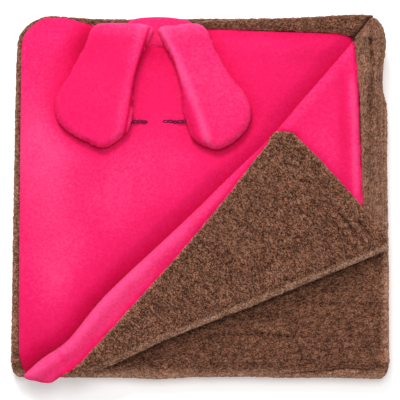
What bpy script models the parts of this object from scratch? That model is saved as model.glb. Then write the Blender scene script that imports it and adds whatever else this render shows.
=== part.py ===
"""Hooded baby towel, folded in quarters with its hood on top.

Metres, +Z up. The towel lies on z = 0 with the middle of its outline at x = y = 0. +Y is the
crown of the hood, where the ears are sewn, and -Y is the front, where the towel is folded.

The towel is one square of double-sided plush, folded twice. That leaves four quarters in a
stack, two folds one above the other on the right, and two folds one inside the other in front.
The hood lies on the top quarter: a velour face with a plush lining, a side panel that laps over
it along the diagonal, and the side panel's free corner, turned back to show its lining.

Moving bodies, each with an empty on its axis:
  unfold_axis      the upper half opens forward over the front folds
  corner_axis      the turned corner opens over its crease
  ear_left_axis, ear_right_axis    each ear lifts on its root seam
"""

import math

import bmesh
import bpy
from mathutils import Vector

# ---- Driving dimensions, in metres ----
PACKET_WIDTH = 0.400
PACKET_DEPTH = 0.392
BODY_PLY = 0.007  # towel plush, pile on both sides
HOOD_PLY = 0.003  # one ply of the hood, velour or lining
EAR_PLY = 0.0036  # one ply of an ear
GAP = 0.0003  # between pieces that touch
SOFT_EDGE = 0.0012  # rounding of every cut edge
CUT_CORNER = 0.004  # rounding of a small corner in plan
FOLD_STEPS = 12  # facets round half a turn

# Towel body
HOOD_OVERHANG = 0.006  # the hood hangs this far past the front fold
BODY_CORNER_RADIUS = 0.034

# Hood face
HOOD_LEFT_MARGIN = 0.0085  # towel that shows left of the hood
HOOD_BACK_MARGIN = 0.0035  # towel that shows behind the hood's left corner
HOOD_CORNER_RADIUS = 0.030
HOOD_CORNER_SLOPE = 0.026  # run of the back edge from the left corner down to the left ear
HOOD_TIP_RISE = 0.009  # hood face's front tip, behind the hood's front edge
HOOD_TIP_INSET = 0.005  # and right of the hood's left edge
HOOD_TIP_TAPER = 0.060  # depth over which the left edge draws in to that tip

# Side panel. Its lapping edge is the diagonal from the front left to the back right.
DIAGONAL_FRONT_INSET = 0.006  # from the hood's left edge
DIAGONAL_FRONT_RISE = 0.0131  # from the hood's front edge
DIAGONAL_BACK_DROP = 0.0056  # from the back border's inner corner
SIDE_UNDERLAP = 0.020  # of the hood face under the side panel
SIDE_LOBE_INSET = 0.003  # the front lobe's left end, right of the diagonal's

# Padded borders of the hood
BORDER_EDGE_MARGIN = 0.0042  # towel fold that shows right of the side border
SIDE_BORDER_WIDE = 0.032  # at the back corner
SIDE_BORDER_NARROW = 0.0235  # at the crease
SIDE_BORDER_CORNER_RADIUS = 0.014
BACK_BORDER_WIDE = 0.024  # at the back corner
BACK_BORDER_NARROW = 0.0075  # beside the right ear
BACK_BORDER_RISE = 0.001  # its outer edge beside the ear, behind the ears' root seam
BACK_BORDER_END = 0.008  # from the hood's right edge to where the back border turns in
BACK_BORDER_DROP = 0.0012  # the back border is this much thinner than the side one
EAR_TO_BORDER = 0.004  # from the right ear's root to the back border
MITRE_RUN = 0.019

# Turned corner
CREASE_FRONT_INSET = 0.0558  # from the towel's left edge to the crease's front end
CREASE_SIDE_INSET = 0.0045  # from the towel's right edge to the crease's side end
CREASE_SIDE_RISE = 0.1549  # of the crease's side end from the hood's front edge
CORNER_BEYOND = (0.0119, 0.0027)  # laid flat, the corner reaches this far past the packet's
CORNER_TIP_RADIUS = 0.014
CORNER_END_RADIUS = 0.003
CORNER_BORDER_WIDTH = 0.026

# Crown, ears and eyes
EAR_ROOT_MARGIN = 0.009  # from the ears' root seam to the towel's back edge
EAR_ROOT_INNER = 0.002  # from the crown's middle to an ear
EAR_ROOT_WIDTH = 0.059
EAR_LENGTH = 0.135
EAR_SPREAD = 0.107  # from the crown's middle to an ear's outer side
EAR_SIDE_CLEARANCE = 0.0153  # from the right ear to the side panel's lapping edge
CROWN_ROLL_WIDTH = 0.068
CROWN_ROLL_DEPTH = 0.007
CROWN_ROLL_SHIFT = 0.010  # the roll's middle, right of the crown's
CROWN_ROLL_DROP = 0.0006  # the roll's top, under the ears' top
EAR_HINGE_RISE = 0.0005  # the ears' axis, over their top
EYE_LENGTH = 0.028
EYE_WIDTH = 0.0026
EYE_HEIGHT = 0.0009
EYE_INNER = 0.0098  # from the crown's middle to an eye
EYE_DROP = 0.1056  # from the ears' root seam to the eyes

# Motion
PILE_ALLOWANCE = 0.0032  # pile that stands over the top ply when the half is turned over
UNFOLD_AXIS_MARGIN = 0.003  # from the front-most edge of the hood to the unfolding axis

# ---- Derived places ----
LEFT = -PACKET_WIDTH / 2
RIGHT = PACKET_WIDTH / 2
BACK = PACKET_DEPTH / 2
FRONT = -PACKET_DEPTH / 2
BODY_FRONT = FRONT + HOOD_OVERHANG

BODY_STEP = BODY_PLY + GAP
BODY_TOP = 4 * BODY_PLY + 3 * GAP
HOOD_STEP = HOOD_PLY + GAP
FACE_LINING_Z = BODY_TOP + GAP
FACE_Z = FACE_LINING_Z + HOOD_STEP
SIDE_LINING_Z = FACE_Z + HOOD_STEP
SIDE_Z = SIDE_LINING_Z + HOOD_STEP
SIDE_TOP = SIDE_Z + HOOD_PLY
CREASE_Z = SIDE_TOP + GAP / 2
CORNER_FACE_Z = SIDE_TOP + GAP
CORNER_LINING_Z = CORNER_FACE_Z + HOOD_STEP
STACK_TOP = CORNER_LINING_Z + HOOD_PLY
EYE_Z = FACE_Z + HOOD_PLY + GAP
EAR_BACK_Z = EYE_Z + EYE_HEIGHT + GAP
EAR_FRONT_Z = EAR_BACK_Z + EAR_PLY + GAP
EAR_TOP = EAR_FRONT_Z + EAR_PLY

SIDE_FOLD_RADIUS = BODY_PLY + GAP / 2
FRONT_INNER_RADIUS = BODY_PLY + GAP / 2
FRONT_OUTER_RADIUS = BODY_TOP / 2
SIDE_FOLD_X = RIGHT - SIDE_FOLD_RADIUS
FRONT_FOLD_Y = BODY_FRONT + FRONT_OUTER_RADIUS

HOOD_LEFT = LEFT + HOOD_LEFT_MARGIN
HOOD_BACK = BACK - HOOD_BACK_MARGIN
EAR_ROOT_Y = BACK - EAR_ROOT_MARGIN
BORDER_EDGE_X = RIGHT - BORDER_EDGE_MARGIN
HOOD_RIGHT = BORDER_EDGE_X - SIDE_BORDER_WIDE
FACE_BACK_RIGHT_Y = BACK - BACK_BORDER_WIDE

DIAGONAL_FRONT = Vector((HOOD_LEFT + DIAGONAL_FRONT_INSET, FRONT + DIAGONAL_FRONT_RISE))
DIAGONAL_BACK = Vector((HOOD_RIGHT, FACE_BACK_RIGHT_Y - DIAGONAL_BACK_DROP))
DIAGONAL_ALONG = (DIAGONAL_BACK - DIAGONAL_FRONT).normalized()

CREASE_FACE_RADIUS = HOOD_PLY + GAP / 2
CREASE_LINING_RADIUS = 2 * HOOD_PLY + 1.5 * GAP
CREASE_START = Vector((LEFT + CREASE_FRONT_INSET, FRONT + CREASE_LINING_RADIUS))
CREASE_END = Vector((RIGHT - CREASE_SIDE_INSET, FRONT + CREASE_SIDE_RISE))
CREASE_ALONG = (CREASE_END - CREASE_START).normalized()
CREASE_ACROSS = Vector((-CREASE_ALONG.y, CREASE_ALONG.x))  # towards the turned corner

# An ear's outline: how far out from the crown's middle, how far down from the root, and the
# rounding there.
EAR_SHAPE = (
    (EAR_ROOT_INNER, 0.0, 0.003),
    (EAR_ROOT_INNER + 0.26 * EAR_SPREAD, 0.83 * EAR_LENGTH, 0.030),
    (0.50 * EAR_SPREAD, 1.03 * EAR_LENGTH, 0.016),
    (0.96 * EAR_SPREAD, 0.85 * EAR_LENGTH, 0.026),
    (1.01 * EAR_SPREAD, 0.60 * EAR_LENGTH, 0.030),
    (EAR_ROOT_INNER + EAR_ROOT_WIDTH, 0.0, 0.006),
)

PINK = (0.965, 0.019, 0.159)
BROWN = (0.195, 0.093, 0.061)
PLUM = (0.069, 0.005, 0.030)


# ---- Plan geometry ----
def meet(point, along, other, other_along):
    """Where two lines in plan cross."""
    cross = along.x * other_along.y - along.y * other_along.x
    apart = Vector(other) - Vector(point)
    share = (apart.x * other_along.y - apart.y * other_along.x) / cross
    return Vector(point) + along * share


def crease_y(x, offset=0.0):
    """The crease axis in plan, moved by an offset towards the turned corner."""
    start = CREASE_START + CREASE_ACROSS * offset
    return start.y + (x - start.x) * CREASE_ALONG.y / CREASE_ALONG.x


def diagonal_x(y):
    """The side panel's lapping edge, at some depth."""
    return DIAGONAL_FRONT.x + (y - DIAGONAL_FRONT.y) * DIAGONAL_ALONG.x / DIAGONAL_ALONG.y


def crown_middle():
    """The crown's middle: as far right as keeps the right ear clear of the side panel."""
    room = min(diagonal_x(EAR_ROOT_Y - down) - out for out, down, _ in EAR_SHAPE)
    return room - EAR_SIDE_CLEARANCE


def turned_tip():
    """The free corner's tip, mirrored from where it lies flat to over the crease."""
    flat = Vector((RIGHT + CORNER_BEYOND[0], FRONT - CORNER_BEYOND[1]))
    return flat - 2 * CREASE_ACROSS * (flat - CREASE_START).dot(CREASE_ACROSS)


def rounded(corners, steps=5):
    """A closed outline from (x, y, radius) corners, with an arc at each corner of some radius."""
    points = []
    count = len(corners)
    for index, (x, y, radius) in enumerate(corners):
        here = Vector((x, y))
        if radius <= 0:
            points.append(here)
            continue
        before = Vector(corners[index - 1][:2]) - here
        after = Vector(corners[(index + 1) % count][:2]) - here
        half = before.angle(after) / 2
        setback = min(radius / math.tan(half), 0.48 * before.length, 0.48 * after.length)
        arc_radius = setback * math.tan(half)
        middle = (before.normalized() + after.normalized()).normalized()
        centre = here + middle * arc_radius / math.sin(half)
        start = here + before.normalized() * setback - centre
        end = here + after.normalized() * setback - centre
        sweep = start.angle_signed(end)
        for step in range(steps + 1):
            turn = -sweep * step / steps
            cosine, sine = math.cos(turn), math.sin(turn)
            spoke = Vector((start.x * cosine - start.y * sine, start.x * sine + start.y * cosine))
            points.append(centre + spoke)
    return points


CROWN_X = crown_middle()
BACK_BORDER_START_X = CROWN_X + EAR_ROOT_INNER + EAR_ROOT_WIDTH + EAR_TO_BORDER
BACK_BORDER_START_Y = EAR_ROOT_Y + BACK_BORDER_RISE - BACK_BORDER_NARROW


# ---- Making objects ----
def finish(name, colour, roughness):
    material = bpy.data.materials.new(name)
    material.use_nodes = True
    shader = material.node_tree.nodes["Principled BSDF"]
    shader.inputs["Base Color"].default_value = (*colour, 1.0)
    shader.inputs["Roughness"].default_value = roughness
    shader.inputs["Metallic"].default_value = 0.0
    return material


def axis_empty(name, place, parent=None):
    """An empty on a joint's axis. It carries the body that turns there."""
    empty = bpy.data.objects.new(name, None)
    empty.empty_display_size = 0.03
    bpy.context.scene.collection.objects.link(empty)
    put(empty, Vector(place), parent)
    return empty


def world_place(obj):
    """An unturned object's place in the world, from its chain of parents."""
    place = obj.location.copy()
    while obj.parent:
        obj = obj.parent
        place += obj.location
    return place


def put(obj, place, parent):
    """Puts an object at a place in the world, under its parent."""
    obj.parent = parent
    obj.location = place - world_place(parent) if parent else place


def add_object(name, bm, place, parent, colour, roughness):
    bmesh.ops.recalc_face_normals(bm, faces=bm.faces)
    mesh = bpy.data.meshes.new(name)
    bm.to_mesh(mesh)
    bm.free()
    mesh.materials.append(finish(name, colour, roughness))
    mesh.shade_smooth()
    mesh.set_sharp_from_angle(angle=math.radians(40))
    obj = bpy.data.objects.new(name, mesh)
    bpy.context.scene.collection.objects.link(obj)
    put(obj, Vector(place), parent)
    return obj


def ply(name, corners, low, thickness, parent, colour, roughness=0.9):
    """A flat ply: an outline extruded upward, with its two rims softened."""
    bm = bmesh.new()
    base = bm.faces.new([bm.verts.new((x, y, 0.0)) for x, y in rounded(corners)])
    raised = bmesh.ops.extrude_face_region(bm, geom=[base])["geom"]
    lifted = [item for item in raised if isinstance(item, bmesh.types.BMVert)]
    bmesh.ops.translate(bm, verts=lifted, vec=(0.0, 0.0, thickness))
    rims = [edge for edge in bm.edges if abs(edge.verts[0].co.z - edge.verts[1].co.z) < thickness / 2]
    bmesh.ops.bevel(
        bm,
        geom=rims,
        offset=min(SOFT_EDGE, thickness / 3),
        offset_type="OFFSET",
        affect="EDGES",
        segments=2,
        profile=0.5,
        clamp_overlap=True,
        material=-1,
    )
    return add_object(name, bm, (0.0, 0.0, low), parent, colour, roughness)


def fold(name, start, end, height, inner, outer, parent, colour):
    """A folded stretch of cloth: half a turn round a level axis, outside the line's right side.

    It is a half round bar when inner is 0, and half a tube otherwise.
    """
    along = Vector((end[0] - start[0], end[1] - start[1], 0.0))
    outward = Vector((along.y, -along.x, 0.0)).normalized()
    upward = Vector((0.0, 0.0, 1.0))
    angles = [math.pi * (step / FOLD_STEPS - 0.5) for step in range(FOLD_STEPS + 1)]
    section = [outward * (outer * math.cos(a)) + upward * (outer * math.sin(a)) for a in angles]
    if inner > 0:
        turned = reversed(angles)
        section += [outward * (inner * math.cos(a)) + upward * (inner * math.sin(a)) for a in turned]
    bm = bmesh.new()
    end_face = bm.faces.new([bm.verts.new(point) for point in section])
    run = bmesh.ops.extrude_face_region(bm, geom=[end_face])["geom"]
    far = [item for item in run if isinstance(item, bmesh.types.BMVert)]
    bmesh.ops.translate(bm, verts=far, vec=along)
    return add_object(name, bm, (start[0], start[1], height), parent, colour, 0.95)


# ---- Towel body ----
def quarter_corners():
    """One quarter of the towel. Its right and front edges run on into the folds."""
    right = SIDE_FOLD_X - GAP
    front = FRONT_FOLD_Y + GAP
    return [
        (LEFT, front, 0.0),
        (right, front, 0.0),
        (right, BACK, 0.0),
        (LEFT, BACK, BODY_CORNER_RADIUS),
    ]


def towel_body(upper):
    names = ("bottom_quarter", "second_quarter", "third_quarter", "top_quarter")
    for level, name in enumerate(names):
        parent = upper if level >= 2 else None
        ply(name, quarter_corners(), level * BODY_STEP, BODY_PLY, parent, BROWN, 0.95)
    side_start = (SIDE_FOLD_X, FRONT_FOLD_Y + GAP)
    side_end = (SIDE_FOLD_X, BACK)
    for name, level, parent in (("lower_side_fold", 0, None), ("upper_side_fold", 2, upper)):
        height = level * BODY_STEP + SIDE_FOLD_RADIUS
        fold(name, side_start, side_end, height, 0.0, SIDE_FOLD_RADIUS, parent, BROWN)
    front_start = (LEFT, FRONT_FOLD_Y)
    front_end = (SIDE_FOLD_X - GAP, FRONT_FOLD_Y)
    middle = BODY_TOP / 2
    fold("front_fold_inner", front_start, front_end, middle, 0.0, FRONT_INNER_RADIUS, None, BROWN)
    outer_start = FRONT_INNER_RADIUS + GAP
    fold("front_fold_outer", front_start, front_end, middle, outer_start, FRONT_OUTER_RADIUS, None, BROWN)


# ---- Hood ----
def hood_face_corners():
    """The hood's face, left of the diagonal, with its underlap and its two margins."""
    under = Vector((DIAGONAL_ALONG.y, -DIAGONAL_ALONG.x)) * SIDE_UNDERLAP
    level = Vector((1.0, 0.0))
    upright = Vector((0.0, 1.0))
    tip = Vector((HOOD_LEFT + HOOD_TIP_INSET, FRONT + HOOD_TIP_RISE))
    front_end = meet(DIAGONAL_FRONT + under, DIAGONAL_ALONG, tip, level)
    right_end = meet(DIAGONAL_FRONT + under, DIAGONAL_ALONG, (HOOD_RIGHT, 0.0), upright)
    root_reach = EAR_ROOT_INNER + EAR_ROOT_WIDTH
    ears_left = CROWN_X - root_reach
    return [
        (*tip, CUT_CORNER),
        (*front_end, 0.0),
        (*right_end, 0.0),
        (HOOD_RIGHT, FACE_BACK_RIGHT_Y, 0.0),
        (BACK_BORDER_START_X, BACK_BORDER_START_Y, 0.0),
        (CROWN_X + root_reach, EAR_ROOT_Y, 0.0),
        (ears_left, EAR_ROOT_Y, 0.0),
        (ears_left - HOOD_CORNER_SLOPE, HOOD_BACK, HOOD_CORNER_RADIUS / 3),
        (HOOD_LEFT, HOOD_BACK, HOOD_CORNER_RADIUS),
        (HOOD_LEFT, FRONT + HOOD_TIP_TAPER, HOOD_TIP_TAPER / 2),
    ]


def side_corners():
    """The side panel, from the diagonal to the side border and the crease."""
    narrow_x = BORDER_EDGE_X - SIDE_BORDER_NARROW
    return [
        (*DIAGONAL_FRONT, CUT_CORNER),
        (DIAGONAL_FRONT.x + SIDE_LOBE_INSET, FRONT, CUT_CORNER),
        (CREASE_START.x - HOOD_OVERHANG, FRONT, CUT_CORNER),
        (CREASE_START.x, crease_y(CREASE_START.x, GAP / 2), 0.0),
        (narrow_x, crease_y(narrow_x, GAP / 2), 0.0),
        (*DIAGONAL_BACK, 0.0),
    ]


def side_border_corners():
    """Padded border right of the side panel. Its front end follows the crease."""
    narrow_x = BORDER_EDGE_X - SIDE_BORDER_NARROW + GAP
    wide_x = HOOD_RIGHT + GAP
    mitre_y = FACE_BACK_RIGHT_Y
    return [
        (narrow_x, crease_y(narrow_x, GAP / 2), 0.0),
        (BORDER_EDGE_X, crease_y(BORDER_EDGE_X, GAP / 2), 0.0),
        (BORDER_EDGE_X, mitre_y + MITRE_RUN, SIDE_BORDER_CORNER_RADIUS),
        (wide_x + MITRE_RUN, mitre_y + MITRE_RUN, 0.0),
        (wide_x, mitre_y, 0.0),
    ]


def back_border_corners():
    """Padded border behind the hood's face, mitred where it meets the side border."""
    left = BACK_BORDER_START_X + GAP
    right = HOOD_RIGHT + GAP - GAP * math.sqrt(2)
    inner_y = BACK_BORDER_START_Y + GAP
    return [
        (left, inner_y, 0.0),
        (right, FACE_BACK_RIGHT_Y + GAP, 0.0),
        (right + MITRE_RUN, FACE_BACK_RIGHT_Y + MITRE_RUN, CUT_CORNER),
        (HOOD_RIGHT + BACK_BORDER_END, BACK, 2 * CUT_CORNER),
        (left, inner_y + BACK_BORDER_NARROW, CUT_CORNER),
    ]


def crown_roll_corners():
    """The seam roll of the crown, behind the ears' roots."""
    half = CROWN_ROLL_WIDTH / 2
    crest = 0.6 * half
    front = EAR_ROOT_Y + GAP
    back = front + CROWN_ROLL_DEPTH
    middle = CROWN_X + CROWN_ROLL_SHIFT
    return [
        (middle - half, front, 0.0),
        (middle + half, front, 0.0),
        (middle + crest, back, CROWN_ROLL_DEPTH),
        (middle - crest, back, CROWN_ROLL_DEPTH),
    ]


def hood(upper):
    face = hood_face_corners()
    ply("hood_face_lining", face, FACE_LINING_Z, HOOD_PLY, upper, BROWN)
    ply("hood_face", face, FACE_Z, HOOD_PLY, upper, PINK)
    side = side_corners()
    ply("hood_side_lining", side, SIDE_LINING_Z, HOOD_PLY, upper, BROWN)
    ply("hood_side", side, SIDE_Z, HOOD_PLY, upper, PINK)
    border_height = SIDE_TOP - FACE_LINING_Z
    ply("side_border", side_border_corners(), FACE_LINING_Z, border_height, upper, BROWN, 0.95)
    back_height = border_height - BACK_BORDER_DROP
    ply("back_border", back_border_corners(), FACE_LINING_Z, back_height, upper, BROWN, 0.95)
    roll_height = EAR_TOP - CROWN_ROLL_DROP - FACE_LINING_Z
    ply("crown_roll", crown_roll_corners(), FACE_LINING_Z, roll_height, upper, PINK)


def eyes(upper):
    """Closed eyes: a stitched thread line under each ear's inner edge."""
    height = EAR_ROOT_Y - EYE_DROP
    for name, side in (("eye_left", -1), ("eye_right", 1)):
        ends = sorted(CROWN_X + side * reach for reach in (EYE_INNER, EYE_INNER + EYE_LENGTH))
        radius = EYE_WIDTH * 0.45
        corners = [
            (ends[0], height - EYE_WIDTH / 2, radius),
            (ends[1], height - EYE_WIDTH / 2, radius),
            (ends[1], height + EYE_WIDTH / 2, radius),
            (ends[0], height + EYE_WIDTH / 2, radius),
        ]
        ply(name, corners, EYE_Z, EYE_HEIGHT, upper, PLUM, 0.6)


# ---- Turned corner ----
def turned_corner(upper, corner):
    """The free corner of the side panel, turned back over the crease with its lining up."""
    tip = turned_tip()
    left = CREASE_START + CREASE_ACROSS * GAP
    right = CREASE_END + CREASE_ACROSS * GAP
    lining = [(*left, 0.0), (*right, CORNER_END_RADIUS), (*tip, CORNER_TIP_RADIUS)]
    ply("corner_lining", lining, CORNER_LINING_Z, HOOD_PLY, corner, BROWN, 0.95)
    edge = (right - tip).normalized()
    inward = Vector((edge.y, -edge.x))
    seam = tip + inward * CORNER_BORDER_WIDTH
    near_tip = meet(left, (tip - left).normalized(), seam, edge)
    near_crease = meet(left, CREASE_ALONG, seam, edge)
    face = [(*left, 0.0), (*near_crease, 0.0), (*near_tip, CORNER_END_RADIUS)]
    ply("corner_face", face, CORNER_FACE_Z, HOOD_PLY, corner, PINK)
    shifted = seam - inward * GAP
    border_near_tip = meet(left, (tip - left).normalized(), shifted, edge)
    border_near_crease = meet(left, CREASE_ALONG, shifted, edge)
    border = [
        (*border_near_crease, 0.0),
        (*right, CORNER_END_RADIUS),
        (*tip, CORNER_TIP_RADIUS),
        (*border_near_tip, 0.0),
    ]
    ply("corner_border", border, CORNER_FACE_Z, HOOD_PLY, corner, BROWN, 0.95)
    face_radius = CREASE_FACE_RADIUS
    fold("corner_fold_face", CREASE_START, CREASE_END, CREASE_Z, 0.0, face_radius, upper, PINK)
    start_radius = face_radius + GAP
    end_radius = CREASE_LINING_RADIUS
    fold("corner_fold_lining", CREASE_START, CREASE_END, CREASE_Z, start_radius, end_radius, upper, BROWN)


# ---- Ears ----
def ear_corners(side):
    """A long ear hanging from its root seam, narrow at the root and round at the tip."""
    placed = [(CROWN_X + side * out, EAR_ROOT_Y - down, radius) for out, down, radius in EAR_SHAPE]
    return placed if side > 0 else placed[::-1]


def ear(name, side, axis):
    corners = ear_corners(side)
    ply(name + "_back", corners, EAR_BACK_Z, EAR_PLY, axis, PINK)
    ply(name + "_front", corners, EAR_FRONT_Z, EAR_PLY, axis, PINK)


# ---- The whole towel ----
def main():
    for obj in list(bpy.data.objects):
        bpy.data.objects.remove(obj)
    bpy.context.scene.unit_settings.system = "METRIC"
    unfold_z = (STACK_TOP + PILE_ALLOWANCE) / 2
    upper = axis_empty("unfold_axis", (0.0, FRONT + UNFOLD_AXIS_MARGIN, unfold_z))
    corner = axis_empty("corner_axis", (CREASE_END.x, CREASE_END.y, CREASE_Z), upper)
    towel_body(upper)
    hood(upper)
    eyes(upper)
    turned_corner(upper, corner)
    for name, side in (("ear_left", -1), ("ear_right", 1)):
        root_x = CROWN_X + side * (EAR_ROOT_INNER + EAR_ROOT_WIDTH / 2)
        axis = axis_empty(name + "_axis", (root_x, EAR_ROOT_Y, EAR_TOP + EAR_HINGE_RISE), upper)
        ear(name, side, axis)


main()
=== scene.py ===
"""Looks of the folded hooded baby towel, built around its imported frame.

Metres, +Z up, in the frame's own place. Each cloth piece is cut flat, given its thickness and its
soft edge, laid or folded into place, and then given its pile.
"""

import itertools
import math

import bmesh
import bpy
import numpy as np
from mathutils import Matrix, Vector


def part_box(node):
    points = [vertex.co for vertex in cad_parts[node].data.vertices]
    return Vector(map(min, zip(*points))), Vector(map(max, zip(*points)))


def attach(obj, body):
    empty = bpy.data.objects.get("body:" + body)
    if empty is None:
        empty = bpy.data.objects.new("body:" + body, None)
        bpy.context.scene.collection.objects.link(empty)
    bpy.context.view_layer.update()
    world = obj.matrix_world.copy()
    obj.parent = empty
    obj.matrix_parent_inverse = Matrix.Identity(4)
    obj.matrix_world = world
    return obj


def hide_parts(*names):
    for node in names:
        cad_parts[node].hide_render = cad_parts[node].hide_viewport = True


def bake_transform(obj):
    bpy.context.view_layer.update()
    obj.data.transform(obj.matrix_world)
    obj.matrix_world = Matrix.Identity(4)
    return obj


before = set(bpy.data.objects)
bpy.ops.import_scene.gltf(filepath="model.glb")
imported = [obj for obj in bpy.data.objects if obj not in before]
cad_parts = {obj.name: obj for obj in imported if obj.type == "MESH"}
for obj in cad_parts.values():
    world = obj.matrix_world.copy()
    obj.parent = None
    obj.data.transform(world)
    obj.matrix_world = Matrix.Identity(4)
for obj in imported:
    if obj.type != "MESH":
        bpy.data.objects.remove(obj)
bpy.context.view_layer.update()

MM = 0.001
PLUSH_CUT = 1.2 * MM  # spacing of the points that carry the plush pile
VELOUR_CUT = 2 * MM
TUFT = 2.3 * MM  # width of one clump of plush pile
PILE_SEED = 11
RIM_HIGHLIGHT = 0.4  # how strong the painted highlight on a soft edge is
BLEND_SHARE = 0.78  # the share of a fold's half height at which the two points handed on with a fold piece lie


# ---- Levels, from the frame ----
def low_z(node):
    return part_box(node)[0].z


def high_z(node):
    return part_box(node)[1].z


SIDE_TOP = high_z("hood_side")
FACE_TOP = high_z("hood_face")


# ---- Seeded chance and noise ----
def chance(cells, seed):
    """A number from 0 to 1 for each whole-numbered cell."""
    mixed = cells[:, 0] * 73856093 ^ cells[:, 1] * 19349663 ^ cells[:, 2] * 83492791 ^ (seed * 2654435761)
    mixed = (mixed ^ (mixed >> 13)) * 1274126177
    mixed ^= mixed >> 16
    return (mixed & 0xFFFFFF) / 0x1000000


def drift(points, size, seed):
    """Smooth noise from -1 to 1, whose bumps are about as wide as size."""
    scaled = points / size
    base = np.floor(scaled).astype(np.int64)
    part = scaled - base
    part = part * part * (3 - 2 * part)
    total = np.zeros(len(points))
    for corner in itertools.product((0, 1), repeat=3):
        weight = np.prod(np.abs(1 - np.array(corner) - part), axis=1)
        total += weight * chance(base + np.array(corner), seed)
    return 2 * total - 1


def flat_drift(plan, size, seed):
    """The same noise on plan places only."""
    return drift(np.column_stack([plan, np.zeros(len(plan))]), size, seed)


def ease(value, start, end):
    """0 before start, 1 after end, smooth between."""
    share = np.clip((value - start) / (end - start), 0, 1)
    return share * share * (3 - 2 * share)


def bell(gap, reach):
    """1 where the gap is nothing, fading out both ways over the reach."""
    return np.exp(-((gap / reach) ** 2))


def rounded(depth, reach, least=0.0):
    """A quarter round: 0 at the edge, 1 at its reach and beyond."""
    return np.sqrt(np.clip(1 - (1 - np.clip(depth / reach, 0, 1)) ** 2, least, 1))


def heading(degrees):
    return math.cos(math.radians(degrees)), math.sin(math.radians(degrees))


def heaped(total, plan, *hills):
    """The total with hills on it. Each has a size, a middle, two reaches and sometimes a turn."""
    for size, *place in hills:
        total = total + size * hill(plan, *place)
    return total


def hill(plan, middle, reach, turn=0.0):
    """1 at the middle, fading out over the two reaches, turned by some degrees."""
    away = plan - np.array(middle) * MM
    cosine, sine = heading(turn)
    along = (away[:, 0] * cosine + away[:, 1] * sine) / (reach[0] * MM)
    across = (away[:, 1] * cosine - away[:, 0] * sine) / (reach[1] * MM)
    return np.exp(-(along**2) - across**2)


# ---- Outlines in plan ----
def softened(corners, rounds=2):
    """A closed outline in metres with its corners cut smooth. A corner given a third number stays sharp."""
    points = [(np.array(corner[:2], float) * MM, len(corner) > 2) for corner in corners]
    for _ in range(rounds):
        cut = []
        for index, (here, sharp) in enumerate(points):
            before, after = points[index - 1][0], points[(index + 1) % len(points)][0]
            if sharp:
                cut.append((here, True))
            else:
                cut.append((here * 0.75 + before * 0.25, False))
                cut.append((here * 0.75 + after * 0.25, False))
        points = cut
    return np.array([place for place, _ in points])


def nearest(plan, line, closed=True):
    """How far each place is from a line of points, the nearest place on it, and how the line runs there."""
    best = np.full(len(plan), 1e9)
    spot, way = np.zeros_like(plan), np.zeros_like(plan)
    ends = np.roll(line, -1, axis=0)
    count = len(line) if closed else len(line) - 1
    for start, end in zip(line[:count], ends[:count]):
        run = end - start
        share = np.clip(((plan - start) @ run) / max(run @ run, 1e-12), 0, 1)
        found = start + share[:, None] * run
        away = np.linalg.norm(plan - found, axis=1)
        hit = away < best
        best[hit], spot[hit], way[hit] = away[hit], found[hit], run
    return best, spot, way


def gap_to(plan, line, closed=True):
    """How far each place is from a line of points."""
    return nearest(plan, line, closed)[0]


def inside(plan, outline):
    odd = np.zeros(len(plan), bool)
    x, y = plan[:, 0], plan[:, 1]
    for start, end in zip(outline, np.roll(outline, -1, axis=0)):
        crosses = (start[1] > y) != (end[1] > y)
        if crosses.any():
            reach = start[0] + (y - start[1]) / (end[1] - start[1] + 1e-15) * (end[0] - start[0])
            odd ^= crosses & (x < reach)
    return odd


def beyond(plan, line):
    """Signed distance to an open line of points, positive on its left side."""
    away, spot, way = nearest(plan, line, closed=False)
    gap = plan - spot
    return away * np.sign(way[:, 0] * gap[:, 1] - way[:, 1] * gap[:, 0])


# ---- Cutting and laying cloth ----
def places(bm):
    return np.array([vert.co for vert in bm.verts], float).reshape(-1, 3)


def put(bm, points):
    for vert, point in zip(bm.verts, points):
        vert.co = point


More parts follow.
